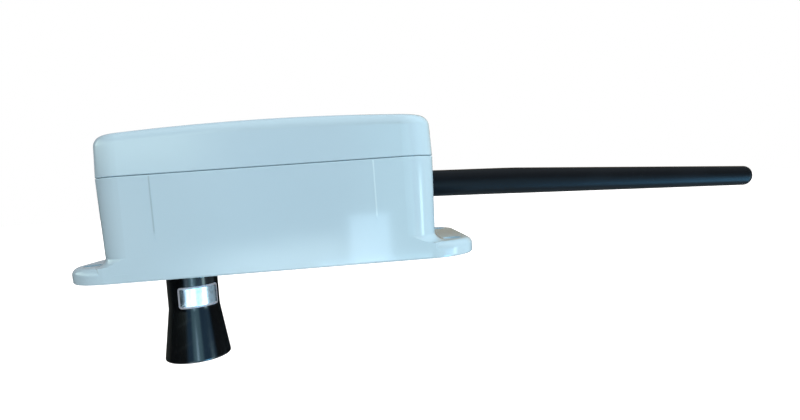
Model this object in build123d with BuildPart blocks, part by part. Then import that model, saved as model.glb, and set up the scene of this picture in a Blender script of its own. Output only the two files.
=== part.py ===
from build123d import *
import os
from math import cos, radians, sin, tan

# Ultrasonic level sensor: a moulded two-part box with screw ears, a black horn
# under its floor and a rubber whip antenna on its right end wall.
# Origin: middle of the box's underside. +X points to the antenna, +Z to the lid,
# the front is at -Y, and the horn looks down along -Z. Millimetres.

# Box outside
seam_z = 44.0
body_length = 145.0
body_depth = 90.6
corner_r = 14.0
draft = 2.0
seam_gap = 0.35

# Mounting ears
ear_reach = 16.6
ear_thick = 6.8
ear_corner_r = 20.4
ear_top_r = 3.0
foot_blend_r = 4.5
underside_r = 0.9
ear_hole_inset = 9.6
ear_hole_side = 17.3
ear_hole_r = 2.3
ear_recess_r = 4.2
ear_recess_depth = 1.6

# Fine upright ridges that the mould leaves on the long walls
ridge_inset = 26.5
ridge_width = 0.35
ridge_height = 0.1
ridge_top_gap = 3.0
ridge_length = 24.0

# Box walls
wall = 3.2
floor_thick = 3.0
rim_lip = 1.5
rim_step_depth = 2.6
tongue_clearance = 0.2
gasket_thick = 1.2

# Lid
lid_crown_z = 65.0
crown_radius = 1050.0
lid_edge_r = 5.0
lid_top_thick = 2.8
lid_edge_break = 0.3

# Lid screws, driven from the underside through the corner posts
post_inset_x = 13.0
post_inset_y = 12.8
post_r = 5.2
post_web = 1.6
post_web_length = 9.6
post_web_gap = 0.6
boss_r = 4.2
boss_web_gap = 2.0
boss_top_inset = 4.0
boss_hole_depth = 9.0
lid_screw_r = 1.5
lid_screw_length = 16.0
lid_screw_head_r = 2.8
lid_screw_head_h = 2.2
lid_screw_seat_z = 34.0
screw_clearance = 0.2
head_clearance = 0.4
thread_clearance = 0.05
driver_slot_r = 1.1
driver_slot_depth = 1.2
driver_slot_width = 0.6
screw_head_break = 0.5

# Horn
horn_inset = 25.3
horn_length = 44.6
horn_neck_r = 11.95
horn_flare_z = -19.8
horn_flare_blend_r = 10.0
horn_bell_z = -27.0
horn_bell_r = 7.6
horn_mouth_r = 15.5
horn_rim_width = 1.8
horn_rim_r = 0.85
horn_throat_r = 7.0
horn_throat_z = -9.0
horn_stem_r = 9.8
horn_stem_top = 14.0
horn_pocket_r = 8.2
horn_ledge_z = 5.0
horn_ledge_r = 8.9
horn_seal_thick = 1.2
horn_seal_proud = 0.25
horn_seal_clearance = 0.1
horn_seal_round = 0.3
horn_hole_clearance = 0.2
horn_nut_flats = 27.0
horn_nut_thick = 6.0
horn_nut_chamfer = 0.8

# Bare label film on the horn's neck
label_height = 10.2
label_top_z = -8.8
label_span = 100.0
label_turn = 32.7
label_thick = 0.15
label_corner_r = 1.5

# Transducer and its small board, inside the horn
sleeve_thick = 1.0
sleeve_lip = 1.9
transducer_height = 11.0
transducer_clearance = 0.05
transducer_face_r = 5.4
transducer_face_depth = 0.6
transducer_pin_r = 0.4
transducer_pin_x = 2.5
transducer_pin_y = -4.5
transducer_pin_length = 4.0
small_board_thick = 1.2
small_board_clearance = 0.1
small_header_y = 2.5

# Antenna
antenna_z = 32.13
whip_r = 6.55
whip_straight = 36.0
whip_bend_length = 10.0
whip_length = 169.7
whip_tip_r = 4.88
whip_tip_round = 3.4
whip_droop = 0.9
whip_socket_r = 5.4
whip_socket_depth = 3.0
coupling_outer_r = 4.8
coupling_end = 11.0
thread_r = 3.15
thread_end = 9.6
antenna_hole_clearance = 0.15
hex_flats = 8.0
antenna_nut_thick = 2.2
antenna_washer_thick = 0.5
antenna_washer_r = 4.4
antenna_seal_thick = 0.8
antenna_seal_r = 4.2
antenna_flange_thick = 2.0
ferrule_r = 1.7
ferrule_length = 6.0
contact_pin_r = 0.6
contact_pin_length = 4.0
contact_pin_clearance = 0.05

# Main board
board_nut_gap = 5.8
board_end_gap = 18.5
board_side_gap = 10.3
board_thick = 1.6
board_corner_r = 2.0
standoff_height = 6.0
standoff_r = 3.0
standoff_inset_x = 4.0
standoff_inset_y = 3.5
board_screw_r = 1.2
board_screw_length = 6.0
board_screw_depth = 5.5
board_screw_head_r = 2.3
board_screw_head_h = 1.6
board_slot_depth = 0.8
board_hole_clearance = 0.2

# Battery tray, cells and contacts
radio_bay = 18.0
tray_end_gap = 4.0
tray_side_gap = 6.5
tray_wall = 1.6
tray_height = 17.0
tray_divider = 0.6
tray_edge_r = 1.5
tray_cell_clearance = 0.2
cell_gap = 1.0
cell_cap_r = 3.6
cell_cap_height = 1.6
cell_edge_r = 0.8
contact_space = 3.4
contact_thick = 0.4
contact_width = 9.0
contact_height = 12.0

# Radio, controller and other parts on the board
radio_inset = 9.0
radio_screw_gap = 5.5
radio_length = 14.0
radio_depth = 24.0
radio_board_thick = 1.0
shield_length = 12.0
shield_depth = 16.0
shield_height = 2.2
shield_wall = 0.3
shield_y = -3.0
coax_socket_y = 8.8
coax_socket_r = 1.1
coax_socket_height = 0.8
chip_size = 7.0
chip_height = 1.2
chip_inset = 13.5
header_inset = 5.0
header_screw_gap = 12.5
header_length = 7.5
header_depth = 5.0
header_height = 6.0
plug_height = 5.0
plug_clearance = 0.1
header_wall = 0.8
header_floor = 1.0

# Leads
coax_r = 0.9
coax_bend = 4.0
coax_plug_r = 1.6
coax_plug_height = 1.6
coax_first_run = 6.5
coax_end_gap = 2.5
coax_side_gap = 3.0
coax_drop_run = 8.0
coax_high = 16.4
coax_low = 8.4
sensor_lead_r = 1.3
sensor_lead_bend = 5.0
sensor_lead_low_z = 23.0
sensor_lead_high_z = 27.0

# Worked-out sizes
half_length = body_length / 2
half_depth = body_depth / 2
slope = tan(radians(draft))
ear_span = body_length + 2 * ear_reach
ear_hole_x = ear_span / 2 - ear_hole_inset
ear_hole_y = half_depth - ear_hole_side
post_x = half_length - post_inset_x
post_y = half_depth - post_inset_y
horn_x = horn_inset - half_length
rim_step_z = seam_z - rim_step_depth
tongue_end_z = rim_step_z + gasket_thick
tongue_inset = rim_lip + tongue_clearance
end_wall_x = half_length - (seam_z - antenna_z) * slope
board_z = floor_thick + standoff_height
board_top = board_z + board_thick
board_left = horn_x + horn_nut_flats / 2 + board_nut_gap
board_right = half_length - board_end_gap
board_x = (board_left + board_right) / 2
board_length = board_right - board_left
board_depth = body_depth - 2 * board_side_gap
standoff_x = board_length / 2 - standoff_inset_x
standoff_y = board_depth / 2 - standoff_inset_y
tray_left = board_left + radio_bay
tray_right = board_right - tray_end_gap
tray_x = (tray_left + tray_right) / 2
tray_length = tray_right - tray_left
tray_depth = board_depth - 2 * tray_side_gap
tray_floor_z = board_top + tray_wall
cell_length = tray_length - 2 * tray_wall - 2 * contact_space
cell_r = (tray_depth - 2 * tray_wall - 2 * tray_cell_clearance - cell_gap) / 4
cell_y = cell_r + cell_gap / 2
cell_z = tray_floor_z + cell_r
radio_x = board_left + radio_inset
radio_y = standoff_y - radio_screw_gap - radio_depth / 2
header_x = board_left + header_inset
header_y = header_screw_gap - standoff_y
chip_x = board_left + chip_inset
chip_y = header_y


def box_section(z, inset=0.0):
    """The box's outline at height z: it narrows away from the seam both ways."""
    grow = -abs(z - seam_z) * slope - inset
    with BuildSketch(Plane.XY.offset(z), mode=Mode.PRIVATE) as section:
        RectangleRounded(body_length + 2 * grow, body_depth + 2 * grow, corner_r + grow)
    return section.sketch


def ear_section(z):
    """The ears' outline at height z: its long sides are flush with the box's walls."""
    side = -abs(z - seam_z) * slope
    nose = (z - ear_thick) * slope
    with BuildSketch(Plane.XY.offset(z), mode=Mode.PRIVATE) as section:
        RectangleRounded(ear_span + 2 * nose, body_depth + 2 * side, ear_corner_r)
    return section.sketch


def save(builder, name):
    """Labels a finished piece and writes its file."""
    builder.part.label = name
    export_step(builder.part, f"parts/{name}.step")


def corner_webs(x, y):
    """Locations at the four corners that point outwards along the diagonals."""
    return [
        Location((x, y), 45),
        Location((-x, y), 135),
        Location((-x, -y), 225),
        Location((x, -y), 315),
    ]


def corner_points(x, y):
    """The four corners of a rectangle about the origin."""
    return [(x, y), (-x, y), (-x, -y), (x, -y)]


os.makedirs("parts", exist_ok=True)
standoff_points = [(board_x + x, y) for x, y in corner_points(standoff_x, standoff_y)]
transducer_pins = [
    (horn_x - transducer_pin_x, transducer_pin_y),
    (horn_x + transducer_pin_x, transducer_pin_y),
]

# Ear plate, rounded along its upper edge
with BuildPart() as ear_plate:
    loft([ear_section(0), ear_section(ear_thick)], ruled=True)
    fillet(ear_plate.faces().sort_by(Axis.Z)[-1].edges(), ear_top_r)

# Concave blend from the end walls down onto the ears
foot_narrowing = (seam_z - ear_thick) * slope
foot_half_length = half_length - foot_narrowing
foot_half_depth = half_depth - foot_narrowing
foot_r = corner_r - foot_narrowing
foot_start_x = foot_half_length - 2 * corner_r

with BuildPart() as foot_blend:
    with BuildLine(Plane.XY.offset(ear_thick)) as foot_path:
        FilletPolyline(
            (foot_start_x, -foot_half_depth),
            (foot_half_length, -foot_half_depth),
            (foot_half_length, foot_half_depth),
            (foot_start_x, foot_half_depth),
            radius=foot_r,
        )
    foot_plane = Plane(
        origin=(foot_start_x, -foot_half_depth, ear_thick), x_dir=(0, -1, 0), z_dir=(-1, 0, 0)
    )
    with BuildSketch(foot_plane):
        with BuildLine():
            Polyline(
                (foot_blend_r, 0),
                (foot_blend_r, -ear_top_r),
                (-wall / 2, -ear_top_r),
                (-wall / 2, foot_blend_r),
                (0, foot_blend_r),
            )
            RadiusArc((0, foot_blend_r), (foot_blend_r, 0), -foot_blend_r)
        make_face()
    sweep(path=foot_path.wires()[0])
    mirror(about=Plane.YZ)

with BuildPart() as ear_envelope:
    loft([ear_section(0), ear_section(ear_thick + foot_blend_r)], ruled=True)

# Places shared by the horn and antenna pieces
horn_plane = Plane(origin=(horn_x, 0, 0), x_dir=(1, 0, 0), z_dir=(0, -1, 0))
horn_axis = Axis((horn_x, 0, 0), (0, 0, 1))
antenna_direction = Vector(cos(radians(draft)), 0, -sin(radians(draft)))
antenna_start = Vector(end_wall_x, 0, antenna_z)
antenna_plane = Plane(origin=antenna_start, x_dir=Vector(0, 1, 0), z_dir=antenna_direction)
wall_normal = wall * cos(radians(draft))

# Ridges on the front wall, turned about the upright axis for the back wall
front_wall = Plane(
    origin=(0, -half_depth, seam_z),
    x_dir=(1, 0, 0),
    z_dir=(0, -cos(radians(draft)), -sin(radians(draft))),
)
ridge_x = half_length - ridge_inset

with BuildPart() as mould_ridges:
    with BuildSketch(front_wall.offset(-wall / 2)):
        with Locations((-ridge_x, -ridge_top_gap), (ridge_x, -ridge_top_gap)):
            Rectangle(ridge_width, ridge_length, align=(Align.CENTER, Align.MAX))
    extrude(amount=wall / 2 + ridge_height)
    mirror(about=Plane.XZ)

# Base housing: tub with ears, corner posts, board standoffs and the holes through it
horn_hole_r = horn_stem_r + horn_hole_clearance
post_bore_r = lid_screw_r + screw_clearance
post_recess_r = lid_screw_head_r + head_clearance

with BuildPart() as base_housing:
    loft([box_section(0), box_section(seam_z)], ruled=True)
    add(ear_plate.part)
    add(foot_blend.part & ear_envelope.part)
    fillet(base_housing.faces().sort_by(Axis.Z)[0].edges(), underside_r)
    add(mould_ridges.part)
    loft([box_section(floor_thick, wall), box_section(seam_z, wall)], ruled=True, mode=Mode.SUBTRACT)
    loft(
        [box_section(rim_step_z, rim_lip), box_section(seam_z, rim_lip)],
        ruled=True,
        mode=Mode.SUBTRACT,
    )
    with BuildSketch(Plane.XY.offset(floor_thick)):
        with Locations(*corner_points(post_x, post_y)):
            Circle(post_r)
    extrude(amount=seam_z - floor_thick)
    with BuildSketch(Plane.XY.offset(floor_thick)):
        with Locations(*corner_webs(post_x, post_y)):
            Rectangle(post_web_length, post_web, align=(Align.MIN, Align.CENTER))
    extrude(amount=rim_step_z - post_web_gap - floor_thick)
    with BuildSketch(Plane.XY.offset(floor_thick)):
        with Locations(*standoff_points):
            Circle(standoff_r)
    extrude(amount=standoff_height)
    with Locations(*[(x, y, ear_thick) for x, y in corner_points(ear_hole_x, ear_hole_y)]):
        CounterBoreHole(ear_hole_r, ear_recess_r, ear_recess_depth, ear_thick)
    with BuildSketch(Plane.XY):
        with Locations(*corner_points(post_x, post_y)):
            Circle(post_recess_r)
    extrude(amount=lid_screw_seat_z, mode=Mode.SUBTRACT)
    with BuildSketch(Plane.XY):
        with Locations(*corner_points(post_x, post_y)):
            Circle(post_bore_r)
    extrude(amount=seam_z, mode=Mode.SUBTRACT)
    with BuildSketch(Plane.XY.offset(board_z)):
        with Locations(*standoff_points):
            Circle(board_screw_r + thread_clearance)
    extrude(amount=-board_screw_depth, mode=Mode.SUBTRACT)
    with BuildSketch(Plane.XY):
        with Locations((horn_x, 0)):
            Circle(horn_hole_r)
    extrude(amount=floor_thick, mode=Mode.SUBTRACT)
    with BuildSketch(antenna_plane):
        Circle(thread_r + antenna_hole_clearance)
    extrude(amount=-2 * wall, mode=Mode.SUBTRACT)
save(base_housing, "base_housing")

# Lid: crowned cap with a tongue that presses the gasket, and bosses over the posts
lid_bottom_z = seam_z + seam_gap
crown_centre_z = lid_crown_z - crown_radius
crown_block_z = lid_crown_z + lid_edge_r

crown_outer = Pos(0, 0, crown_centre_z) * Sphere(crown_radius)
crown_inner = Pos(0, 0, crown_centre_z) * Sphere(crown_radius - lid_top_thick)

with BuildPart() as lid_cavity:
    loft([box_section(lid_bottom_z, wall), box_section(crown_block_z, wall)], ruled=True)
    add(crown_inner, mode=Mode.INTERSECT)

with BuildPart() as lid:
    loft([box_section(lid_bottom_z), box_section(crown_block_z)], ruled=True)
    add(crown_outer, mode=Mode.INTERSECT)
    fillet(lid.faces().sort_by(Axis.Z)[-1].edges(), lid_edge_r)
    chamfer(lid.faces().sort_by(Axis.Z)[0].edges(), lid_edge_break)
    add(lid_cavity.part, mode=Mode.SUBTRACT)
    loft(
        [box_section(tongue_end_z, tongue_inset), box_section(lid_bottom_z + wall, tongue_inset)],
        ruled=True,
    )
    loft(
        [box_section(tongue_end_z, wall), box_section(lid_bottom_z + wall, wall)],
        ruled=True,
        mode=Mode.SUBTRACT,
    )
    with BuildSketch(Plane.XY.offset(seam_z)):
        with Locations(*corner_points(post_x, post_y)):
            Circle(boss_r)
    extrude(amount=lid_crown_z - boss_top_inset - seam_z)
    with BuildSketch(Plane.XY.offset(lid_bottom_z + boss_web_gap)):
        with Locations(*corner_webs(post_x, post_y)):
            Rectangle(post_web_length, post_web, align=(Align.MIN, Align.CENTER))
    extrude(amount=lid_crown_z - lid_edge_r - boss_web_gap - lid_bottom_z)
    with BuildSketch(Plane.XY.offset(seam_z)):
        with Locations(*corner_points(post_x, post_y)):
            Circle(lid_screw_r + thread_clearance)
    extrude(amount=boss_hole_depth, mode=Mode.SUBTRACT)
save(lid, "lid")

# Gasket lying on the rim's step, under the lid's tongue
with BuildPart() as lid_gasket:
    loft(
        [box_section(rim_step_z, tongue_inset), box_section(tongue_end_z, tongue_inset)], ruled=True
    )
    loft(
        [box_section(rim_step_z, wall), box_section(tongue_end_z, wall)],
        ruled=True,
        mode=Mode.SUBTRACT,
    )
save(lid_gasket, "lid_gasket")

# Four lid screws, heads down in the posts' recesses
with BuildPart() as lid_screws:
    with BuildSketch(Plane.XY.offset(lid_screw_seat_z)):
        with Locations(*corner_points(post_x, post_y)):
            Circle(lid_screw_head_r)
    extrude(amount=-lid_screw_head_h)
    chamfer(lid_screws.edges().group_by(Axis.Z)[0], screw_head_break)
    with BuildSketch(Plane.XY.offset(lid_screw_seat_z)):
        with Locations(*corner_points(post_x, post_y)):
            Circle(lid_screw_r)
    extrude(amount=lid_screw_length)
    with BuildSketch(Plane.XY.offset(lid_screw_seat_z - lid_screw_head_h)):
        with Locations(*corner_points(post_x, post_y)):
            Rectangle(2 * driver_slot_r, driver_slot_width)
            Rectangle(driver_slot_width, 2 * driver_slot_r)
    extrude(amount=driver_slot_depth, mode=Mode.SUBTRACT)
save(lid_screws, "lid_screws")

# Horn: threaded stem, cylindrical neck, straight outer flare and a curved bell inside
with BuildPart() as horn:
    with BuildSketch(horn_plane):
        with BuildLine():
            Polyline(
                (horn_throat_r, horn_throat_z),
                (horn_pocket_r, horn_throat_z),
                (horn_pocket_r, horn_ledge_z),
                (horn_ledge_r, horn_ledge_z),
                (horn_ledge_r, horn_stem_top),
                (horn_stem_r, horn_stem_top),
                (horn_stem_r, -horn_seal_thick),
                (horn_neck_r, -horn_seal_thick),
            )
            FilletPolyline(
                (horn_neck_r, -horn_seal_thick),
                (horn_neck_r, horn_flare_z),
                (horn_mouth_r, -horn_length),
                radius=horn_flare_blend_r,
            )
            Line((horn_mouth_r, -horn_length), (horn_mouth_r - horn_rim_width, -horn_length))
            Bezier(
                (horn_mouth_r - horn_rim_width, -horn_length),
                (horn_bell_r, horn_bell_z),
                (horn_throat_r, horn_throat_z),
            )
        make_face()
    revolve(axis=horn_axis)
    fillet(horn.edges().group_by(Axis.Z)[0], horn_rim_r)
save(horn, "horn")

# Rubber ring between the horn's shoulder and the box
with BuildPart() as horn_seal:
    with BuildSketch(Plane.XY):
        with Locations((horn_x, 0)):
            Circle(horn_neck_r + horn_seal_proud)
            Circle(horn_stem_r + horn_seal_clearance, mode=Mode.SUBTRACT)
    extrude(amount=-horn_seal_thick)
    seal_rim = horn_seal.faces().filter_by(GeomType.CYLINDER).sort_by(SortBy.AREA)[-1]
    fillet(seal_rim.edges(), horn_seal_round)
save(horn_seal, "horn_seal")

# Hexagonal nut that clamps the horn from inside the box
with BuildPart() as horn_nut:
    with BuildSketch(Plane.XY.offset(floor_thick)):
        with Locations((horn_x, 0)):
            RegularPolygon(horn_nut_flats / 2, 6, major_radius=False)
            Circle(horn_stem_r + thread_clearance, mode=Mode.SUBTRACT)
    extrude(amount=horn_nut_thick)
    chamfer(horn_nut.faces().sort_by(Axis.Z)[-1].outer_wire().edges(), horn_nut_chamfer)
save(horn_nut, "horn_nut")

# Bare silver film wrapped part of the way round the neck
label_start = radians(label_turn - label_span / 2)
label_plane = Plane(
    origin=(horn_x, 0, label_top_z),
    x_dir=(sin(label_start), -cos(label_start), 0),
    z_dir=(-cos(label_start), -sin(label_start), 0),
)

with BuildPart() as horn_label:
    with BuildSketch(label_plane):
        with Locations((horn_neck_r, 0)):
            Rectangle(label_thick, label_height, align=(Align.MIN, Align.MAX))
    revolve(axis=horn_axis, revolution_arc=label_span)
    fillet(horn_label.edges().filter_by(lambda edge: edge.length < 2 * label_thick), label_corner_r)
save(horn_label, "horn_label")

# Rubber sleeve that holds the transducer in the horn's pocket
sleeve_outer_r = horn_pocket_r - transducer_clearance
sleeve_inner_r = sleeve_outer_r - sleeve_thick
transducer_z = horn_throat_z + sleeve_thick
transducer_top = transducer_z + transducer_height

with BuildPart() as transducer_sleeve:
    with BuildSketch(Plane.XY.offset(horn_throat_z)):
        with Locations((horn_x, 0)):
            Circle(sleeve_outer_r)
    extrude(amount=sleeve_thick + transducer_height)
    with BuildSketch(Plane.XY.offset(transducer_z)):
        with Locations((horn_x, 0)):
            Circle(sleeve_inner_r)
    extrude(amount=transducer_height, mode=Mode.SUBTRACT)
    with BuildSketch(Plane.XY.offset(horn_throat_z)):
        with Locations((horn_x, 0)):
            Circle(horn_pocket_r - sleeve_lip)
    extrude(amount=sleeve_thick, mode=Mode.SUBTRACT)
save(transducer_sleeve, "transducer_sleeve")

# Ultrasonic transducer: aluminium can with a sunk face and two pins
with BuildPart() as transducer:
    with BuildSketch(Plane.XY.offset(transducer_z)):
        with Locations((horn_x, 0)):
            Circle(sleeve_inner_r - transducer_clearance)
    extrude(amount=transducer_height)
    with BuildSketch(Plane.XY.offset(transducer_z)):
        with Locations((horn_x, 0)):
            Circle(transducer_face_r)
    extrude(amount=transducer_face_depth, mode=Mode.SUBTRACT)
    with BuildSketch(Plane.XY.offset(transducer_top)):
        with Locations(*transducer_pins):
            Circle(transducer_pin_r)
    extrude(amount=transducer_pin_length)
save(transducer, "transducer")

# Round board on the ledge in the horn's stem
with BuildPart() as sensor_board:
    with BuildSketch(Plane.XY.offset(horn_ledge_z)):
        with Locations((horn_x, 0)):
            Circle(horn_ledge_r - small_board_clearance)
        with Locations(*transducer_pins):
            Circle(transducer_pin_r + thread_clearance, mode=Mode.SUBTRACT)
    extrude(amount=small_board_thick)
save(sensor_board, "sensor_board")


def header(name, x, y, z):
    """Shrouded board header, open at the top."""
    with BuildPart() as shroud:
        with BuildSketch(Plane.XY.offset(z)):
            with Locations((x, y)):
                Rectangle(header_length, header_depth)
        extrude(amount=header_height)
        with BuildSketch(Plane.XY.offset(z + header_floor)):
            with Locations((x, y)):
                Rectangle(header_length - 2 * header_wall, header_depth - 2 * header_wall)
        extrude(amount=header_height - header_floor, mode=Mode.SUBTRACT)
    save(shroud, name)


def lead_plug(name, x, y, z):
    """Plug seated in a header."""
    shrink = 2 * (header_wall + plug_clearance)
    with BuildPart() as plug:
        with BuildSketch(Plane.XY.offset(z + header_floor)):
            with Locations((x, y)):
                Rectangle(header_length - shrink, header_depth - shrink)
        extrude(amount=plug_height)
    save(plug, name)


# Sensor lead with a header and plug at each end
small_board_top = horn_ledge_z + small_board_thick
header("sensor_board_header", horn_x, small_header_y, small_board_top)
lead_plug("sensor_board_plug", horn_x, small_header_y, small_board_top)
header("main_board_header", header_x, header_y, board_top)
lead_plug("main_board_plug", header_x, header_y, board_top)

lead_start = (horn_x, small_header_y, small_board_top + header_floor + plug_height)
lead_end = (header_x, header_y, board_top + header_floor + plug_height)

with BuildPart() as sensor_lead:
    with BuildLine() as sensor_route:
        FilletPolyline(
            lead_start,
            (horn_x, small_header_y, sensor_lead_low_z),
            ((horn_x + header_x) / 2, (small_header_y + header_y) / 2, sensor_lead_high_z),
            (header_x, header_y, sensor_lead_high_z - sensor_lead_r),
            lead_end,
            radius=sensor_lead_bend,
        )
    with BuildSketch(Plane(origin=lead_start)):
        Circle(sensor_lead_r)
    sweep(path=sensor_route.wires()[0])
save(sensor_lead, "sensor_lead")

# Main board and its four screws
with BuildPart() as main_board:
    with BuildSketch(Plane.XY.offset(board_z)):
        with Locations((board_x, 0)):
            RectangleRounded(board_length, board_depth, board_corner_r)
        with Locations(*standoff_points):
            Circle(board_screw_r + board_hole_clearance, mode=Mode.SUBTRACT)
    extrude(amount=board_thick)
save(main_board, "main_board")

with BuildPart() as board_screws:
    with BuildSketch(Plane.XY.offset(board_top)):
        with Locations(*standoff_points):
            Circle(board_screw_head_r)
    extrude(amount=board_screw_head_h)
    fillet(board_screws.edges().group_by(Axis.Z)[-1], screw_head_break)
    with BuildSketch(Plane.XY.offset(board_top)):
        with Locations(*standoff_points):
            Circle(board_screw_r)
    extrude(amount=-board_screw_length)
    with BuildSketch(Plane.XY.offset(board_top + board_screw_head_h)):
        with Locations(*standoff_points):
            Rectangle(2 * driver_slot_r, driver_slot_width)
            Rectangle(driver_slot_width, 2 * driver_slot_r)
    extrude(amount=-board_slot_depth, mode=Mode.SUBTRACT)
save(board_screws, "board_screws")

# Battery tray, open at the top, with a low divider between the cells
with BuildPart() as battery_tray:
    with BuildSketch(Plane.XY.offset(board_top)):
        with Locations((tray_x, 0)):
            RectangleRounded(tray_length, tray_depth, tray_edge_r)
    extrude(amount=tray_height)
    with BuildSketch(Plane.XY.offset(tray_floor_z)):
        with Locations((tray_x, 0)):
            Rectangle(tray_length - 2 * tray_wall, tray_depth - 2 * tray_wall)
    extrude(amount=tray_height - tray_wall, mode=Mode.SUBTRACT)
    with BuildSketch(Plane.XY.offset(tray_floor_z)):
        with Locations((tray_x, 0)):
            Rectangle(tray_length - tray_wall, tray_divider)
    extrude(amount=tray_height - tray_wall)
save(battery_tray, "battery_tray")


def battery_cell(name, y, positive):
    """Cell along X, with its cap on the side that positive gives."""
    can_length = cell_length - cell_cap_height
    end_x = tray_x - positive * cell_length / 2
    with BuildPart() as cell:
        with BuildSketch(Plane.YZ.offset(end_x)):
            with Locations((y, cell_z)):
                Circle(cell_r)
        extrude(amount=positive * can_length)
        fillet(cell.edges(), cell_edge_r)
        with BuildSketch(Plane.YZ.offset(end_x + positive * can_length)):
            with Locations((y, cell_z)):
                Circle(cell_cap_r)
        extrude(amount=positive * cell_cap_height)
    save(cell, name)


def leaf_contact(name, y, side):
    """Bowed spring leaf between the tray's end wall and a cell's end."""
    wall_face = tray_x + side * (tray_length / 2 - tray_wall)
    bow = -side * contact_space
    inner_bow = -side * (contact_space - contact_thick)
    foot = contact_height / 2
    with BuildPart() as leaf:
        with BuildSketch(Plane(origin=(wall_face, y, cell_z), x_dir=(1, 0, 0), z_dir=(0, -1, 0))):
            with BuildLine():
                ThreePointArc((0, -foot), (bow, 0), (0, foot))
                Line((0, foot), (0, foot - contact_thick))
                ThreePointArc((0, foot - contact_thick), (inner_bow, 0), (0, contact_thick - foot))
                Line((0, contact_thick - foot), (0, -foot))
            make_face()
        extrude(amount=contact_width / 2, both=True)
    save(leaf, name)


battery_cell("battery_front", -cell_y, 1)
battery_cell("battery_rear", cell_y, -1)
leaf_contact("contact_front_left", -cell_y, -1)
leaf_contact("contact_front_right", -cell_y, 1)
leaf_contact("contact_rear_left", cell_y, -1)
leaf_contact("contact_rear_right", cell_y, 1)

# Controller chip
with BuildPart() as controller_chip:
    with BuildSketch(Plane.XY.offset(board_top)):
        with Locations((chip_x, chip_y)):
            Rectangle(chip_size, chip_size)
    extrude(amount=chip_height)
save(controller_chip, "controller_chip")

# Radio module: small board, shield can and coaxial socket
radio_top = board_top + radio_board_thick
coax_socket_top = radio_top + coax_socket_height

with BuildPart() as radio_board:
    with BuildSketch(Plane.XY.offset(board_top)):
        with Locations((radio_x, radio_y)):
            Rectangle(radio_length, radio_depth)
    extrude(amount=radio_board_thick)
save(radio_board, "radio_board")

with BuildPart() as radio_shield:
    with BuildSketch(Plane.XY.offset(radio_top)):
        with Locations((radio_x, radio_y + shield_y)):
            Rectangle(shield_length, shield_depth)
    extrude(amount=shield_height)
    offset(amount=-shield_wall, openings=radio_shield.faces().sort_by(Axis.Z)[0])
save(radio_shield, "radio_shield")

with BuildPart() as coax_socket:
    with BuildSketch(Plane.XY.offset(radio_top)):
        with Locations((radio_x, radio_y + coax_socket_y)):
            Circle(coax_socket_r)
    extrude(amount=coax_socket_height)
save(coax_socket, "coax_socket")

with BuildPart() as coax_plug:
    with BuildSketch(Plane.XY.offset(coax_socket_top)):
        with Locations((radio_x, radio_y + coax_socket_y)):
            Circle(coax_plug_r)
    extrude(amount=coax_plug_height)
save(coax_plug, "coax_plug")


def antenna_point(along):
    """Point on the antenna's axis, measured outwards from the wall's outer face."""
    return antenna_start + antenna_direction * along


# Bulkhead socket: threaded barrel through the wall, flange and ferrule inside
seal_face = -wall_normal
flange_face = seal_face - antenna_seal_thick
ferrule_face = flange_face - antenna_flange_thick
lead_face = ferrule_face - ferrule_length

with BuildPart() as antenna_socket:
    with BuildSketch(antenna_plane.offset(ferrule_face)):
        Circle(thread_r)
    extrude(amount=thread_end - ferrule_face)
    with BuildSketch(antenna_plane.offset(ferrule_face)):
        RegularPolygon(hex_flats / 2, 6, major_radius=False)
    extrude(amount=antenna_flange_thick)
    with BuildSketch(antenna_plane.offset(lead_face)):
        Circle(ferrule_r)
    extrude(amount=ferrule_length)
    with BuildSketch(antenna_plane.offset(thread_end)):
        Circle(contact_pin_r + contact_pin_clearance)
    extrude(amount=-contact_pin_length - contact_pin_clearance, mode=Mode.SUBTRACT)
save(antenna_socket, "antenna_socket")

with BuildPart() as antenna_seal:
    with BuildSketch(antenna_plane.offset(flange_face)):
        Circle(antenna_seal_r)
        Circle(thread_r + thread_clearance, mode=Mode.SUBTRACT)
    extrude(amount=antenna_seal_thick)
save(antenna_seal, "antenna_seal")

with BuildPart() as antenna_washer:
    with BuildSketch(antenna_plane):
        Circle(antenna_washer_r)
        Circle(thread_r + thread_clearance, mode=Mode.SUBTRACT)
    extrude(amount=antenna_washer_thick)
save(antenna_washer, "antenna_washer")

with BuildPart() as antenna_nut:
    with BuildSketch(antenna_plane.offset(antenna_washer_thick)):
        RegularPolygon(hex_flats / 2, 6, major_radius=False)
        Circle(thread_r + thread_clearance, mode=Mode.SUBTRACT)
    extrude(amount=antenna_nut_thick)
save(antenna_nut, "antenna_nut")

# Coupling moulded into the whip: it screws onto the socket and carries the centre pin
with BuildPart() as antenna_coupling:
    with BuildSketch(antenna_plane.offset(whip_socket_depth)):
        Circle(coupling_outer_r)
        Circle(thread_r + thread_clearance, mode=Mode.SUBTRACT)
    extrude(amount=thread_end - whip_socket_depth)
    with BuildSketch(antenna_plane.offset(thread_end)):
        Circle(coupling_outer_r)
    extrude(amount=coupling_end - thread_end)
    with BuildSketch(antenna_plane.offset(thread_end)):
        Circle(contact_pin_r)
    extrude(amount=-contact_pin_length)
save(antenna_coupling, "antenna_coupling")


def whip_place(turn_share):
    """Where the whip's section lies in the bend past its straight foot, from 0 to 1."""
    past = whip_bend_length * turn_share
    turn = whip_droop * turn_share
    sag = radians(turn) * past / 2
    return antenna_plane.location * Location((0, -sag, whip_straight + past), (turn, 0, 0))


def whip_section(turn_share):
    """Round section of the whip in its bend."""
    with BuildSketch(Plane(whip_place(turn_share)), mode=Mode.PRIVATE) as section:
        Circle(whip_r)
    return section.sketch


# Whip: straight foot, a slight bend and a tapered part that droops to a rounded end
taper_length = whip_length - whip_straight - whip_bend_length

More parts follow.
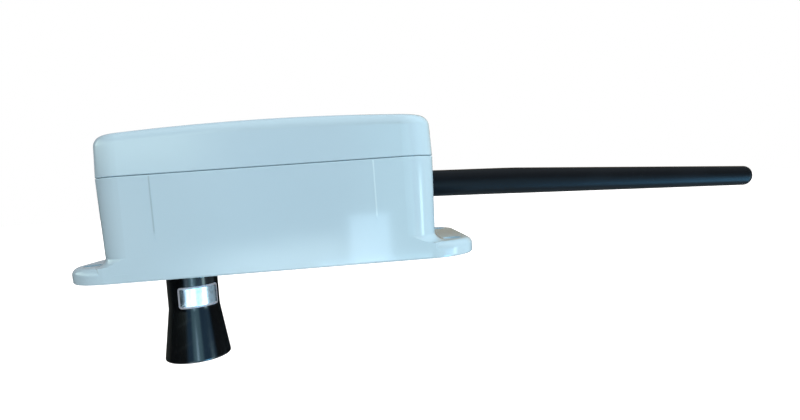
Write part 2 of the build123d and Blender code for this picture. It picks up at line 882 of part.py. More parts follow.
with BuildPart() as antenna_whip:
    with BuildSketch(antenna_plane):
        Circle(whip_r)
    extrude(amount=whip_straight)
    loft([whip_section(0), whip_section(1 / 2), whip_section(1)])
    with Locations(whip_place(1)):
        Cone(whip_r, whip_tip_r, taper_length, align=(Align.CENTER, Align.CENTER, Align.MIN))
    fillet(antenna_whip.edges().sort_by(Axis.X)[-1], whip_tip_round)
    with BuildSketch(antenna_plane):
        Circle(whip_socket_r)
    extrude(amount=whip_socket_depth, mode=Mode.SUBTRACT)
    with BuildSketch(antenna_plane.offset(whip_socket_depth)):
        Circle(coupling_outer_r)
    extrude(amount=coupling_end - whip_socket_depth, mode=Mode.SUBTRACT)
save(antenna_whip, "antenna_whip")

# Coaxial lead from the socket's ferrule round the tray to the radio module
coax_start = antenna_point(lead_face)
coax_side_y = tray_depth / 2 + coax_side_gap
coax_end_y = radio_y + coax_socket_y + coax_plug_r
coax_end_z = coax_socket_top + coax_plug_height / 2

with BuildPart() as coax_lead:
    with BuildLine() as coax_route:
        FilletPolyline(
            coax_start,
            antenna_point(lead_face - coax_first_run),
            (tray_right + coax_end_gap, coax_side_y, board_top + coax_high),
            (tray_right - coax_drop_run, coax_side_y, board_top + coax_low),
            (radio_x, coax_side_y, coax_end_z),
            (radio_x, coax_end_y, coax_end_z),
            radius=coax_bend,
        )
    with BuildSketch(Plane(origin=coax_start, z_dir=-antenna_direction)):
        Circle(coax_r)
    sweep(path=coax_route.wires()[0])
save(coax_lead, "coax_lead")
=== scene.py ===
# %% [markdown]
# # An ultrasonic level sensor, dressed for its picture
# The real object is a moulded plastic box, a black horn under its floor and a
# rubber whip antenna on one end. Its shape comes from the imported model, so this
# lesson is about camera, light and finishes. Every length is in metres.

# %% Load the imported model
from math import cos, pi, radians, sin

import bpy
from mathutils import Matrix, Vector


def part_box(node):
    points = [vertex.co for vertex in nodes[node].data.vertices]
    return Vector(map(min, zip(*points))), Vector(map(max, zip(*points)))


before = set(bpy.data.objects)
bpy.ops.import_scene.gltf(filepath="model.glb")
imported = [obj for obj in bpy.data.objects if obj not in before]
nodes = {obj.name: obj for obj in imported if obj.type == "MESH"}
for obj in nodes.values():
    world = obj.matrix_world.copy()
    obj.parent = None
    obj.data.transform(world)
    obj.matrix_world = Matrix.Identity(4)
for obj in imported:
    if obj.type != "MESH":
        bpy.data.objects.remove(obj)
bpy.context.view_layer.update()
scene = bpy.context.scene

# %% [markdown]
# ## The camera
# The photograph was taken from close by with a wide lens, a little above the
# middle of the box and turned a few degrees on its side. A camera could be aimed
# with a constraint. Here its three axes are written out from three angles,
# because a tilt about the line of sight is part of the picture.

# %% Place the camera
MM = 0.001
LENS_MM = 24.37
SENSOR_MM = 36.0
CAMERA_AT = Vector((43.4, -272.5, 32.4)) * MM
YAW, PITCH, ROLL = radians(-3.114), radians(2.646), radians(-4.166)

camera = bpy.data.objects.new("camera", bpy.data.cameras.new("camera"))
scene.collection.objects.link(camera)
camera.data.lens = LENS_MM
camera.data.sensor_width = SENSOR_MM
camera.data.clip_start = 0.01

sight = Vector((-sin(YAW) * cos(PITCH), cos(YAW) * cos(PITCH), -sin(PITCH)))
level_right = Vector((cos(YAW), sin(YAW), 0))
level_up = level_right.cross(sight)
right = level_right * cos(ROLL) + level_up * sin(ROLL)
up = level_up * cos(ROLL) - level_right * sin(ROLL)
turn = Matrix((right, up, -sight)).transposed().to_4x4()
camera.matrix_world = Matrix.Translation(CAMERA_AT) @ turn
scene.camera = camera
print("camera at", [round(value, 4) for value in CAMERA_AT], "lens", LENS_MM)

# %% [markdown]
# ## Small helpers for node trees
# A finish is a tree of nodes. Adding nodes by hand takes many lines, so each
# helper adds one kind of node and joins it. An operand may be a number or the
# output of another node.

# %% Helpers that add nodes
def node(tree, kind, **values):
    """Adds a node. A value with a name of a property sets it, and others set a socket."""
    made = tree.nodes.new(kind)
    for key, value in values.items():
        if hasattr(made, key):
            setattr(made, key, value)
        else:
            made.inputs[key.replace("_", " ")].default_value = value
    return made


def plug(tree, value, socket):
    """Gives a socket a number, or joins an output to it."""
    if isinstance(value, bpy.types.NodeSocket):
        tree.links.new(value, socket)
    else:
        socket.default_value = value


def calc(tree, operation, *operands):
    """A Math node."""
    made = node(tree, "ShaderNodeMath", operation=operation)
    for socket, value in zip(made.inputs, operands):
        plug(tree, value, socket)
    return made.outputs[0]


def step(tree, value, low, high):
    """0 below low, 1 above high and a soft change between them."""
    made = node(tree, "ShaderNodeMapRange", interpolation_type="SMOOTHSTEP")
    for name, number in (("Value", value), ("From Min", low), ("From Max", high)):
        plug(tree, number, made.inputs[name])
    return made.outputs["Result"]


def blend_colour(tree, factor, first, second):
    """A Mix node for colours. A plain colour is given as three numbers."""
    made = node(tree, "ShaderNodeMix", data_type="RGBA")
    plug(tree, factor, made.inputs[0])
    for socket, value in ((made.inputs[6], first), (made.inputs[7], second)):
        plug(tree, (*value, 1) if isinstance(value, tuple) else value, socket)
    return made.outputs[2]


def noise(tree, scale, detail=2.0):
    """Noise fixed to the object."""
    place = node(tree, "ShaderNodeTexCoord").outputs["Object"]
    made = node(tree, "ShaderNodeTexNoise", Detail=detail)
    plug(tree, place, made.inputs["Vector"])
    plug(tree, scale, made.inputs["Scale"])
    return made.outputs[0]


def axes(tree):
    """The object's own X, Y and Z."""
    split = node(tree, "ShaderNodeSeparateXYZ")
    plug(tree, node(tree, "ShaderNodeTexCoord").outputs["Object"], split.inputs[0])
    return split.outputs


print("node helpers are ready")

# %% [markdown]
# ## The room
# The photograph has a plain white background, a bright right-hand side and a dim,
# warm left-hand side. Stronger lamps would wash out the pale box, so the world is
# white only for the camera and through glass. Diffuse rays see a soft room that
# is brighter to the right.

# %% The soft room for diffuse rays
BRIGHT_SIDE = Vector((0.97, -0.23, 0.1)).normalized()
DIM, BRIGHT = (0.445, 0.377, 0.35), (2.36, 2.4, 2.45)

world = bpy.data.worlds.new("pale_studio")
scene.world = world
world.use_nodes = True
tree = world.node_tree
tree.nodes.clear()
direction = node(tree, "ShaderNodeTexCoord").outputs["Generated"]
towards = node(tree, "ShaderNodeVectorMath", operation="DOT_PRODUCT")
plug(tree, direction, towards.inputs[0])
plug(tree, tuple(BRIGHT_SIDE), towards.inputs[1])
split = node(tree, "ShaderNodeSeparateXYZ")
plug(tree, direction, split.inputs[0])

lit = step(tree, towards.outputs["Value"], -0.2, 1.0)
room = node(tree, "ShaderNodeBackground", Strength=1.0)
plug(tree, blend_colour(tree, lit, DIM, BRIGHT), room.inputs["Color"])
print("bright side:", [round(part, 2) for part in BRIGHT_SIDE])

# %% [markdown]
# ## What the gloss reflects
# A glossy thing shows its surroundings. Here they are painted on the sky that
# glossy rays see, as soft patches between two turns and two rises. Each range is
# the low end, the high end and the softness, in degrees. A turn of 0 is straight
# to the front, and a positive one is to the right. Real cards and walls would do
# the same, but would take light from the object. Later patches lie over earlier
# ones.

# %% Patches that glossy rays see
def band(tree, value, low, high, soft):
    """1 between two angles in degrees, with soft ends, and 0 outside them."""
    rise = step(tree, value, radians(low - soft), radians(low + soft))
    fall = step(tree, value, radians(high - soft), radians(high + soft))
    return calc(tree, "SUBTRACT", rise, fall)


x, y, z = split.outputs
turn_angle = calc(tree, "ARCTAN2", x, calc(tree, "MULTIPLY", y, -1.0))
rise_angle = calc(tree, "ARCSINE", z)
PATCHES = [
    ("ground", (-200, 200, 5), (-95, -34, 6), (0.5, 0.65, 0.7)),
    ("blue room", (-20, 80, 8), (-95, 12, 6), (0.2, 0.52, 0.92)),
    ("dim left", (-140, -98, 8), (-60, -1, 5), (0.08, 0.09, 0.085)),
    ("dim right", (82, 128, 8), (-60, -7, 1.5), (0.42, 0.58, 0.68)),
    ("pale room", (0, 34, 4), (-95, 14, 4), (0.95, 1.9, 2.4)),
    ("bright ground", (-17.5, -1, 6.5), (-95, -9.2, 1.5), (3.6, 4.7, 5.3)),
    ("right ground", (34, 84, 5), (-95, -8.2, 1), (1.0, 1.3, 1.4)),
    ("whip sheen", (38, 70, 6), (-55, -15, 6), (3.2, 11.0, 19.0)),
    ("window strip", (61, 73, 4), (-40, -2.5, 1.8), (4.4, 6.6, 7.0)),
    ("pale left wall", (-116, -17, 4), (7, 36, 3), (2.0, 2.6, 2.5)),
    ("ceiling", (-200, 200, 5), (28, 95, 14), (0.32, 0.38, 0.42)),
    ("grey wall behind", (-200, -125, 20), (1, 40, 2), (0.38, 0.4, 0.43)),
    ("brown wall behind", (125, 200, 20), (1, 40, 2), (0.28, 0.18, 0.05)),
]
surroundings = (0.015, 0.02, 0.025)
for _, across, upright, colour in PATCHES:
    patch = calc(
        tree, "MULTIPLY", band(tree, turn_angle, *across), band(tree, rise_angle, *upright)
    )
    surroundings = blend_colour(tree, patch, surroundings, colour)
mirrored = node(tree, "ShaderNodeBackground", Strength=1.0)
plug(tree, surroundings, mirrored.inputs["Color"])
print("patches:", [patch[0] for patch in PATCHES])

# %% [markdown]
# ## Which rays see what
# Light Path tells one kind of ray from another, so one small function serves the
# world and the floor.

# %% Join the world's three parts
seen = node(tree, "ShaderNodeBackground", Strength=1.0, Color=(1, 1, 1, 1))


def by_ray(tree, diffuse, glossy, direct):
    """One shader for diffuse rays, one for glossy rays and one that is seen directly."""
    path = node(tree, "ShaderNodeLightPath")
    first = node(tree, "ShaderNodeMixShader")
    plug(tree, path.outputs["Is Glossy Ray"], first.inputs[0])
    second = node(tree, "ShaderNodeMixShader")
    direct_ray = calc(
        tree, "MAXIMUM", path.outputs["Is Camera Ray"], path.outputs["Is Transmission Ray"]
    )
    plug(tree, direct_ray, second.inputs[0])
    for shader, socket in ((diffuse, first.inputs[1]), (glossy, first.inputs[2]),
                           (first, second.inputs[1]), (direct, second.inputs[2])):
        plug(tree, shader.outputs[0], socket)
    return second.outputs[0]


world_out = node(tree, "ShaderNodeOutputWorld")
plug(tree, by_ray(tree, room, mirrored, seen), world_out.inputs["Surface"])
scene.view_settings.view_transform = "Standard"
print("world nodes:", len(tree.nodes))

# %% [markdown]
# ## The floor
# The sensor hangs by its ears, so the floor is below the horn and touches
# nothing. It is matt and pale, so that it takes the soft shadow, with a little
# white added where the camera sees it. Glossy rays pass through it, because the
# painted surroundings go on below it.

# %% The floor
FLOOR_Z = -0.12
FLOOR_HALF = 6.0
ADDED_WHITE = 0.55
floor_mesh = bpy.data.meshes.new("floor")
corners = [(-1, -1), (1, -1), (1, 1), (-1, 1)]
floor_mesh.from_pydata(
    [(x * FLOOR_HALF, y * FLOOR_HALF, FLOOR_Z) for x, y in corners], [], [(0, 1, 2, 3)]
)
floor = bpy.data.objects.new("floor", floor_mesh)
scene.collection.objects.link(floor)

floor_paint = bpy.data.materials.new("floor_paint")
floor_paint.use_nodes = True
tree = floor_paint.node_tree
tree.nodes.clear()
matt = node(tree, "ShaderNodeBsdfDiffuse", Color=(0.8, 0.8, 0.8, 1))
clear = node(tree, "ShaderNodeBsdfTransparent")
white = node(tree, "ShaderNodeEmission", Strength=ADDED_WHITE)
both = node(tree, "ShaderNodeAddShader")
plug(tree, matt.outputs[0], both.inputs[0])
plug(tree, white.outputs[0], both.inputs[1])
floor_out = node(tree, "ShaderNodeOutputMaterial")
plug(tree, by_ray(tree, matt, clear, both), floor_out.inputs["Surface"])
floor.data.materials.append(floor_paint)
print("floor at", FLOOR_Z)

# %% [markdown]
# ## Lamps
# The lamp is large and dim, as in a light tent. Its power spreads over its area,
# so the helper takes the brightness that a mirror would show, and works out the
# power. The same helper makes two cards close in front that just the gloss shows,
# for the horn's streak and the box's pale blotch.

# %% Soft lamps
def lamp(name, at, aim, size, brightness, colour, lights=True):
    """An area lamp that the camera doesn't see. Without lights, only the gloss shows it."""
    data = bpy.data.lights.new(name, "AREA")
    data.shape = "RECTANGLE"
    data.size, data.size_y = size
    data.energy = brightness * pi * size[0] * size[1]
    data.color = colour
    made = bpy.data.objects.new(name, data)
    scene.collection.objects.link(made)
    made.location = at
    made.rotation_euler = (Vector(aim) - Vector(at)).to_track_quat("-Z", "Y").to_euler()
    made.visible_camera = False
    made.visible_diffuse = lights
    return made


MIDDLE = (0, 0, 0.03)
lamps = [
    lamp("overhead", (0.1, -0.1, 1.1), MIDDLE, (1.4, 1.2), 0.5, (0.97, 0.99, 1)),
]
cards = [
    ("near_card", (0.0415, -0.32, -0.045), (0.038, 0.066), 4.6, (0.56, 0.8, 1)),
    ("wide_card", (0.05, -0.321, -0.078), (0.12, 0.05), 3.2, (0.5, 0.8, 1)),
]
for name, at, size, brightness, colour in cards:
    lamps.append(lamp(name, at, (at[0], 0, at[2]), size, brightness, colour, lights=False))
print("lamps:", [made.name for made in lamps])

# %% [markdown]
# ## Shared effects
# Moulded plastic is never quite even: its surface waves a little, its tint
# drifts, dust settles on it and handling scratches it. Several finishes use these
# effects, so each is a node group, built once and given its own values in each
# material. A group puts out only numbers and colours that change over the
# surface. The shader stays in the material.

# %% A group for slow waves and fine grain
FLOAT, COLOUR, VECTOR = "NodeSocketFloat", "NodeSocketColor", "NodeSocketVector"


def new_group(name, inputs, outputs):
    """An empty shader node group with named sockets."""
    group = bpy.data.node_groups.new(name, "ShaderNodeTree")
    for label, kind, value in inputs:
        socket = group.interface.new_socket(label, in_out="INPUT", socket_type=kind)
        socket.default_value = value
    for label, kind in outputs:
        group.interface.new_socket(label, in_out="OUTPUT", socket_type=kind)
    start = group.nodes.new("NodeGroupInput").outputs
    end = group.nodes.new("NodeGroupOutput").inputs
    return group, start, end


surface_group, start, end = new_group(
    "moulded_surface",
    [("Wave Scale", FLOAT, 18.0), ("Wave", FLOAT, 1.0), ("Grain Scale", FLOAT, 1500.0),
     ("Grain", FLOAT, 0.1)],
    [("Height", FLOAT)],
)
waves = noise(surface_group, start["Wave Scale"], 1.0)
slow = calc(surface_group, "MULTIPLY", waves, start["Wave"])
grains = noise(surface_group, start["Grain Scale"])
fine = calc(surface_group, "MULTIPLY", grains, start["Grain"])
plug(surface_group, calc(surface_group, "ADD", slow, fine), end["Height"])
print("group:", surface_group.name)

# %% A group for drifting tint and dust
tint_group, start, end = new_group(
    "tint_and_dust",
    [("Colour", COLOUR, (0.5, 0.5, 0.5, 1)), ("Other Colour", COLOUR, (0.5, 0.5, 0.5, 1)),
     ("Drift Scale", FLOAT, 9.0), ("Dust Colour", COLOUR, (0.6, 0.58, 0.55, 1)),
     ("Dust", FLOAT, 0.1)],
    [("Colour", COLOUR), ("Dust", FLOAT)],
)
drift = step(tint_group, noise(tint_group, start["Drift Scale"]), 0.35, 0.65)
tinted = blend_colour(tint_group, drift, start["Colour"], start["Other Colour"])
specks = step(tint_group, noise(tint_group, 900.0, 3.0), 0.6, 0.75)
patches = step(tint_group, noise(tint_group, 35.0), 0.45, 0.7)
dust = calc(tint_group, "MULTIPLY", specks, patches)
dust = calc(tint_group, "MULTIPLY", dust, start["Dust"])
plug(tint_group, blend_colour(tint_group, dust, tinted, start["Dust Colour"]), end["Colour"])
plug(tint_group, dust, end["Dust"])
print("group:", tint_group.name)

# %% A group for hair scratches
scratch_group, start, end = new_group(
    "hair_scratches", [("Scale", FLOAT, 60.0), ("Amount", FLOAT, 0.3)], [("Mask", FLOAT)]
)
place = node(scratch_group, "ShaderNodeTexCoord").outputs["Object"]
lines = []
for tilt, length in ((0.5, 0.04), (2.2, 0.06)):
    turned = node(scratch_group, "ShaderNodeVectorRotate", rotation_type="AXIS_ANGLE", Angle=tilt)
    turned.inputs["Axis"].default_value = (0.3, 1.0, 0.2)
    plug(scratch_group, place, turned.inputs["Vector"])
    pulled = node(scratch_group, "ShaderNodeVectorMath", operation="MULTIPLY")
    plug(scratch_group, turned.outputs[0], pulled.inputs[0])
    pulled.inputs[1].default_value = (length * 6, 6, 6)
    texture = node(scratch_group, "ShaderNodeTexNoise", Detail=1.0)
    plug(scratch_group, pulled.outputs[0], texture.inputs["Vector"])
    plug(scratch_group, start["Scale"], texture.inputs["Scale"])
    lines.append(step(scratch_group, texture.outputs[0], 0.7, 0.74))
mask = calc(scratch_group, "MAXIMUM", *lines)
plug(scratch_group, calc(scratch_group, "MULTIPLY", mask, start["Amount"]), end["Mask"])
print("group:", scratch_group.name)

# %% A group for brushed or drawn lines
brush_group, start, end = new_group(
    "drawn_lines", [("Scale", FLOAT, 1.0), ("Stretch", VECTOR, (4000, 4000, 60))],
    [("Height", FLOAT)],
)
place = node(brush_group, "ShaderNodeTexCoord").outputs["Object"]
pulled = node(brush_group, "ShaderNodeVectorMath", operation="MULTIPLY")
plug(brush_group, place, pulled.inputs[0])
plug(brush_group, start["Stretch"], pulled.inputs[1])
texture = node(brush_group, "ShaderNodeTexNoise", Detail=3.0)
plug(brush_group, pulled.outputs[0], texture.inputs["Vector"])
plug(brush_group, start["Scale"], texture.inputs["Scale"])
plug(brush_group, texture.outputs[0], end["Height"])
print("group:", brush_group.name)

# %% [markdown]
# ## A finish from the groups
# Most pieces differ only in colour, gloss and grain, so one function builds their
# material. The tint group gives the colour, dust and scratches make it duller,
# and the surface group feeds a Bump node. Values that are the same all over stay
# on the shader's own sockets.

# %% Build a finish
def use(tree, group, **values):
    """Places a group with its own values."""
    placed = node(tree, "ShaderNodeGroup", node_tree=group)
    for label, value in values.items():
        plug(tree, value, placed.inputs[label.replace("_", " ")])
    return placed.outputs


def finish_material(name, colour, other=None, rough=0.4, rough_span=0.08, metal=0.0,
                    wave=(18.0, 0.5), grain=(1500.0, 0.2), depth=0.0002, dust=0.1,
                    scratch=(60.0, 0.15), lines=None, shine=0.5):
    """A Principled material fed by the shared groups. Returns it with its main nodes."""
    made = bpy.data.materials.new(name)
    made.use_nodes = True
    tree = made.node_tree
    shader = tree.nodes["Principled BSDF"]
    other = other or tuple(channel * 0.92 for channel in colour)
    tint = use(tree, tint_group, Colour=(*colour, 1), Other_Colour=(*other, 1), Dust=dust)
    plug(tree, tint["Colour"], shader.inputs["Base Color"])
    marks = use(tree, scratch_group, Scale=scratch[0], Amount=scratch[1])
    level = calc(tree, "MULTIPLY_ADD", noise(tree, 60.0), rough_span, rough - rough_span / 2)
    level = calc(tree, "MULTIPLY_ADD", tint["Dust"], 0.5, level)
    level = calc(tree, "MULTIPLY_ADD", marks["Mask"], 0.3, level)
    plug(tree, level, shader.inputs["Roughness"])
    height = use(tree, surface_group, Wave_Scale=wave[0], Wave=wave[1], Grain_Scale=grain[0],
                 Grain=grain[1])["Height"]
    height = calc(tree, "MULTIPLY_ADD", marks["Mask"], -0.03, height)
    if lines:
        drawn = use(tree, brush_group, Stretch=lines[0])["Height"]
        height = calc(tree, "MULTIPLY_ADD", drawn, lines[1], height)
    bump = node(tree, "ShaderNodeBump", Distance=depth)
    plug(tree, height, bump.inputs["Height"])
    plug(tree, bump.outputs[0], shader.inputs["Normal"])
    shader.inputs["Metallic"].default_value = metal
    shader.inputs["Specular IOR Level"].default_value = shine
    return {"material": made, "tree": tree, "shader": shader, "colour": tint["Colour"],
            "level": level, "height": height, "bump": bump}


def dress(finish, *names):
    """Gives CAD nodes a finish."""
    for name in names:
        slots = nodes[name].data.materials
        slots.clear()
        slots.append(finish["material"])


def paint(finish, mask, colour):
    """Puts another colour over a finish where the mask is 1."""
    finish["colour"] = blend_colour(finish["tree"], mask, finish["colour"], colour)
    plug(finish["tree"], finish["colour"], finish["shader"].inputs["Base Color"])


def roughen(finish, mask, change):
    """Adds to a finish's roughness where the mask is 1."""
    finish["level"] = calc(finish["tree"], "MULTIPLY_ADD", mask, change, finish["level"])
    plug(finish["tree"], finish["level"], finish["shader"].inputs["Roughness"])


def raise_by(finish, mask, change):
    """Adds to a finish's bump height where the mask is 1."""
    finish["height"] = calc(finish["tree"], "MULTIPLY_ADD", mask, change, finish["height"])
    plug(finish["tree"], finish["height"], finish["bump"].inputs["Height"])


print("finish builder is ready")

# %% [markdown]
# ## The box and its lid
# Both are moulded from one glossy, pale plastic that looks faintly blue in
# daylight. Painting it flat would look like paper, so it drifts between two close
# tints, and its surface has the slow waves that bend reflections on moulded walls.
# The rims of the seam under the lid are painted paler, a painted light against the
# seam's shade, and darker in patches, a painted shade that also roughens them like dirt.

# %% Box plastic
box_plastic = finish_material(
    "box_plastic", (0.425, 0.605, 0.70), (0.40, 0.58, 0.675), rough=0.085, rough_span=0.04,
    wave=(14.0, 0.4), grain=(900.0, 0.006), depth=0.0004, dust=0.05, scratch=(45.0, 0.12),
)
tree = box_plastic["tree"]
seam_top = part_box("base_housing")[1][2]
height = axes(tree)["Z"]
from_seam = calc(tree, "ABSOLUTE", calc(tree, "SUBTRACT", height, seam_top))
in_seam = calc(tree, "SUBTRACT", 1.0, step(tree, from_seam, 0.0001, 0.0006))
seam_dirt_and_shade = calc(tree, "MULTIPLY", in_seam, step(tree, noise(tree, 80.0), 0.3, 0.6))
# Painted light on the seam's rims, then painted shade in patches along the seam.
paint(box_plastic, calc(tree, "MULTIPLY", in_seam, 0.6), (0.5, 0.75, 0.86))
paint(box_plastic, calc(tree, "MULTIPLY", seam_dirt_and_shade, 0.12), (0.2, 0.24, 0.26))
roughen(box_plastic, seam_dirt_and_shade, 0.3)
dress(box_plastic, "base_housing", "lid")
print("seam at", round(seam_top, 4))

# %% [markdown]
# ## The lines that the mould left
# The real walls have one fine upright ridge at each end, where two parts of the
# mould met. The model has their shape, but it is only a tenth of a millimetre
# high. A mask by place paints the left one darker, a painted shade, and the right
# one paler, a painted highlight, as a ridge is shaded on one side and lit on the
# other.

# %% Paint shade and a highlight on the mould lines
LINE_AT, LINE_HALF = 46.0 * MM, 0.3 * MM
LINE_LOW, LINE_HIGH = 19.0 * MM, 43.6 * MM
place = axes(tree)
off_line = calc(tree, "SUBTRACT", calc(tree, "ABSOLUTE", place["X"]), LINE_AT)
off_line = calc(tree, "ABSOLUTE", off_line)
on_line = calc(tree, "SUBTRACT", 1.0, step(tree, off_line, LINE_HALF * 0.4, LINE_HALF * 1.6))
tall = calc(
    tree, "MULTIPLY", step(tree, place["Z"], LINE_LOW, LINE_LOW + 2 * MM),
    calc(tree, "LESS_THAN", place["Z"], LINE_HIGH),
)
on_line = calc(tree, "MULTIPLY", on_line, tall)
at_right = calc(tree, "GREATER_THAN", place["X"], 0.0)
painted_line_light = blend_colour(tree, at_right, (0.3, 0.42, 0.47), (0.62, 0.82, 0.88))
# Painted shade on the left line and a painted highlight on the right one.
paint(box_plastic, calc(tree, "MULTIPLY", on_line, 0.6), painted_line_light)
print("mould lines at", LINE_AT / MM, "mm either side")

# %% [markdown]
# ## The horn
# The horn is polished black plastic, with faint rings from the polished mould.
# Black shows little but its reflections, so its gloss does most of the work.

# %% Horn plastic
horn_plastic = finish_material(
    "horn_plastic", (0.0016, 0.002, 0.0024), (0.0026, 0.0032, 0.0038), rough=0.145,
    rough_span=0.07, wave=(45.0, 0.25), grain=(1200.0, 0.02), depth=0.0003, dust=0.025,
    scratch=(70.0, 0.25), lines=((90, 90, 2600), 0.015),
)
dress(horn_plastic, "horn", "horn_nut")

# %% [markdown]
# ## The whip antenna
# The whip is a satin rubber sleeve, a little blue by daylight. Drawing it out of
# its mould left very fine lines along it, and handling has dulled it in patches.

# %% Whip rubber
whip_rubber = finish_material(
    "whip_rubber", (0.0035, 0.0052, 0.0075), (0.0045, 0.0068, 0.0098), rough=0.36,
    rough_span=0.12, wave=(30.0, 0.3), grain=(2200.0, 0.12), depth=0.0002, dust=0.015,
    scratch=(50.0, 0.3), lines=((60, 2600, 2600), 0.06), shine=0.085,
)
tree = whip_rubber["tree"]
worn = calc(tree, "MULTIPLY", step(tree, noise(tree, 40.0), 0.5, 0.75), 0.35)
paint(whip_rubber, worn, (0.008, 0.012, 0.017))
dress(whip_rubber, "antenna_whip")

# %% [markdown]
# ## The label
# The label is a bare silver film with a duller, faintly mauve edge. Its edge could
# be another piece of geometry. A mask is simpler: the film is rolled flat with the
# angle round the horn and the height, and the distance to a rounded rectangle says
# where the edge begins.

# %% A mask for the label's edge
LABEL_TURN, LABEL_SPAN = radians(32.7), radians(100.0)
LABEL_R, LABEL_CORNER = 11.95 * MM, 1.5 * MM
EDGE_WIDTH = 0.85 * MM
label_low, label_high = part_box("horn_label")
horn_low, horn_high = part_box("horn")
horn_x = (horn_low[0] + horn_high[0]) / 2
half_wide = LABEL_R * LABEL_SPAN / 2
half_high = (label_high[2] - label_low[2]) / 2

label_film = finish_material(
    "label_film", (0.74, 0.77, 0.8), (0.66, 0.7, 0.74), rough=0.24, rough_span=0.1, metal=1.0,
    wave=(220.0, 0.5), grain=(1800.0, 0.1), depth=0.00012, dust=0.05, scratch=(90.0, 0.4),
    lines=((3200, 3200, 90), 0.05),
)
tree = label_film["tree"]
x, y, z = axes(tree)
to_right = calc(tree, "SUBTRACT", x, horn_x)
angle = calc(tree, "ARCTAN2", to_right, calc(tree, "MULTIPLY", y, -1.0))
along = calc(tree, "MULTIPLY", calc(tree, "SUBTRACT", angle, LABEL_TURN), LABEL_R)
rise = calc(tree, "SUBTRACT", z, (label_low[2] + label_high[2]) / 2)
along, rise = calc(tree, "ABSOLUTE", along), calc(tree, "ABSOLUTE", rise)
past_side = calc(tree, "SUBTRACT", along, half_wide - LABEL_CORNER)
past_top = calc(tree, "SUBTRACT", rise, half_high - LABEL_CORNER)
side = calc(tree, "MAXIMUM", past_side, 0.0)
top = calc(tree, "MAXIMUM", past_top, 0.0)
squared = calc(tree, "MULTIPLY_ADD", side, side, calc(tree, "MULTIPLY", top, top))
corner = calc(tree, "SQRT", squared)
inner = calc(tree, "MINIMUM", calc(tree, "MAXIMUM", past_side, past_top), 0.0)
outside = calc(tree, "SUBTRACT", calc(tree, "ADD", corner, inner), LABEL_CORNER)
edge = step(tree, outside, -EDGE_WIDTH * 1.15, -EDGE_WIDTH * 0.85)
print("label", round(2 * half_wide / MM, 1), "by", round(2 * half_high / MM, 1), "mm")

# %% Label film
paint(label_film, edge, (0.38, 0.385, 0.43))
roughen(label_film, edge, 0.25)
bare_metal = calc(tree, "MULTIPLY_ADD", edge, -0.85, 1.0)
plug(tree, bare_metal, label_film["shader"].inputs["Metallic"])
tarnish = calc(tree, "MULTIPLY", step(tree, noise(tree, 700.0, 3.0), 0.45, 0.7), 0.45)
tarnish = calc(tree, "MULTIPLY", tarnish, calc(tree, "SUBTRACT", 1.0, edge))
paint(label_film, tarnish, (0.42, 0.45, 0.48))
raise_by(label_film, edge, -0.2)
dress(label_film, "horn_label")

# %% [markdown]
# ## Seals
# The gasket, the ring under the box and the sleeve round the transducer are soft
# matt rubber with a pale bloom. Their grain is coarser than plastic's.

# %% Seal rubber
seal_rubber = finish_material(
    "seal_rubber", (0.006, 0.0065, 0.007), (0.011, 0.0115, 0.012), rough=0.55, rough_span=0.15,
    wave=(120.0, 0.3), grain=(2500.0, 0.3), depth=0.0002, dust=0.12, shine=0.3,
)
tree = seal_rubber["tree"]
bloom = calc(tree, "MULTIPLY", step(tree, noise(tree, 260.0, 3.0), 0.5, 0.8), 0.2)
paint(seal_rubber, bloom, (0.03, 0.032, 0.034))
dress(seal_rubber, "lid_gasket", "horn_seal", "transducer_sleeve", "antenna_seal")

# %% [markdown]
# ## Metals
# The screws are stainless steel, the contacts and the radio's can are plated
# steel, the transducer's can is aluminium and the antenna's fittings are gold
# plated. Each has fine drawn or turned lines and a tarnish that dulls it in spots.

# %% Screws, contacts, can and fittings
def metal(name, colour, rough, lines, tarnish_colour, *names):
    """A bare metal with drawn lines and tarnish."""
    made = finish_material(
        name, colour, rough=rough, rough_span=0.12, metal=1.0, wave=(300.0, 0.2),
        grain=(3000.0, 0.1), depth=0.00008, dust=0.06, scratch=(120.0, 0.5), lines=(lines, 0.4),
    )
    spots = step(made["tree"], noise(made["tree"], 450.0, 3.0), 0.55, 0.8)
    paint(made, calc(made["tree"], "MULTIPLY", spots, 0.5), tarnish_colour)
    roughen(made, spots, 0.15)
    dress(made, *names)
    print(name, "on", len(names), "nodes")


metal("screw_steel", (0.6, 0.6, 0.59), 0.27, (900, 900, 5000), (0.34, 0.31, 0.27),
      "lid_screws", "board_screws")
metal("contact_steel", (0.68, 0.68, 0.66), 0.22, (300, 5000, 300), (0.42, 0.4, 0.36),
      "contact_front_left", "contact_front_right", "contact_rear_left", "contact_rear_right",
      "radio_shield")
metal("can_aluminium", (0.74, 0.75, 0.76), 0.34, (2500, 2500, 400), (0.5, 0.5, 0.5), "transducer")
metal("gold_brass", (0.78, 0.58, 0.24), 0.22, (5000, 500, 500), (0.42, 0.27, 0.1),
      "coax_socket", "coax_plug", "antenna_socket", "antenna_washer", "antenna_nut",
      "antenna_coupling")

# %% [markdown]
# ## Circuit boards
# A board is glass laminate under green lacquer. Tracks show through the lacquer
# as a lighter green, and plated holes are bare. Cell edges of a Voronoi texture
# with square distances give straight runs like tracks, and small round cells give
# the holes.

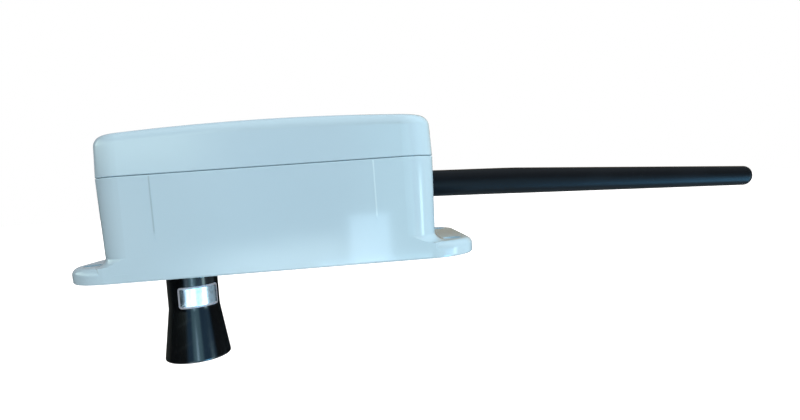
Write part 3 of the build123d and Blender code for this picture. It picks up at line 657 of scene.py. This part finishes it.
# %% Circuit board
LANES = 22.0
circuit_board = finish_material(
    "circuit_board", (0.012, 0.085, 0.04), (0.016, 0.105, 0.052), rough=0.24, rough_span=0.08,
    wave=(200.0, 0.1), grain=(2500.0, 0.05), depth=0.0001, dust=0.05,
)
tree = circuit_board["tree"]
place = node(tree, "ShaderNodeTexCoord").outputs["Object"]
runs = node(tree, "ShaderNodeTexVoronoi", feature="F1", distance="CHEBYCHEV", Scale=300.0)
runs.inputs["Randomness"].default_value = 0.85
plug(tree, place, runs.inputs["Vector"])
lanes = calc(tree, "SINE", calc(tree, "MULTIPLY", runs.outputs["Distance"], LANES))
lanes = calc(tree, "ABSOLUTE", lanes)
tracks = step(tree, lanes, 0.75, 0.85)
paint(circuit_board, calc(tree, "MULTIPLY", tracks, 0.7), (0.03, 0.19, 0.085))
raise_by(circuit_board, tracks, 0.12)
holes = node(tree, "ShaderNodeTexVoronoi", feature="F1", Scale=420.0)
plug(tree, place, holes.inputs["Vector"])
ring = calc(tree, "SUBTRACT", 1.0, step(tree, holes.outputs["Distance"], 0.13, 0.16))
paint(circuit_board, ring, (0.62, 0.5, 0.26))
plug(tree, ring, circuit_board["shader"].inputs["Metallic"])
dress(circuit_board, "sensor_board", "main_board", "radio_board")
print("board layers: lacquer, tracks, plated holes")

# %% [markdown]
# ## Plugs, tray, chip and leads
# The headers are natural nylon with a milky mottle. The battery tray, the chip and
# the leads are black, and differ in gloss and grain.

# %% Hidden plastics
header_plastic = finish_material(
    "header_plastic", (0.68, 0.65, 0.55), (0.6, 0.57, 0.48), rough=0.42, wave=(150.0, 0.4),
    grain=(1800.0, 0.15), dust=0.05,
)
dress(header_plastic, "sensor_board_header", "sensor_board_plug", "main_board_plug",
      "main_board_header")
tray_plastic = finish_material(
    "tray_plastic", (0.016, 0.016, 0.018), (0.022, 0.022, 0.024), rough=0.5,
    wave=(60.0, 0.2), grain=(1500.0, 0.6), dust=0.1,
)
dress(tray_plastic, "battery_tray")
chip_plastic = finish_material(
    "chip_plastic", (0.012, 0.012, 0.013), (0.018, 0.018, 0.019), rough=0.55,
    grain=(2600.0, 0.8), depth=0.0001, dust=0.03,
)
dress(chip_plastic, "controller_chip")
lead_sheath = finish_material(
    "lead_sheath", (0.014, 0.014, 0.015), (0.02, 0.02, 0.021), rough=0.38,
    wave=(200.0, 0.3), grain=(2000.0, 0.2), dust=0.06,
)
dress(lead_sheath, "sensor_lead", "coax_lead")
print("hidden plastics are dressed")

# %% [markdown]
# ## The cells
# A cell is a steel can in a bare green shrink sleeve. The sleeve stops short of
# the ends, so a mask along the cell turns sleeve into plated steel there.

# %% Cell wrap
SLEEVE_LAP = 1.2 * MM
BUTTON_HIGH = 1.6 * MM
cell_low, cell_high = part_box("battery_front")
cell_middle = (cell_low[0] + cell_high[0]) / 2
sleeve_half = (cell_high[0] - cell_low[0]) / 2 - SLEEVE_LAP - BUTTON_HIGH
cell_wrap = finish_material(
    "cell_wrap", (0.06, 0.22, 0.11), (0.05, 0.19, 0.095), rough=0.2, rough_span=0.08,
    wave=(140.0, 0.6), grain=(1800.0, 0.05), depth=0.0002, dust=0.04,
)
tree = cell_wrap["tree"]
from_middle = calc(tree, "ABSOLUTE", calc(tree, "SUBTRACT", axes(tree)["X"], cell_middle))
bare_end = step(tree, from_middle, sleeve_half, sleeve_half + 0.15 * MM)
paint(cell_wrap, bare_end, (0.62, 0.62, 0.6))
raise_by(cell_wrap, bare_end, -1.0)
plug(tree, bare_end, cell_wrap["shader"].inputs["Metallic"])
dress(cell_wrap, "battery_front", "battery_rear")
print("sleeve", round(2 * sleeve_half / MM, 1), "mm long")
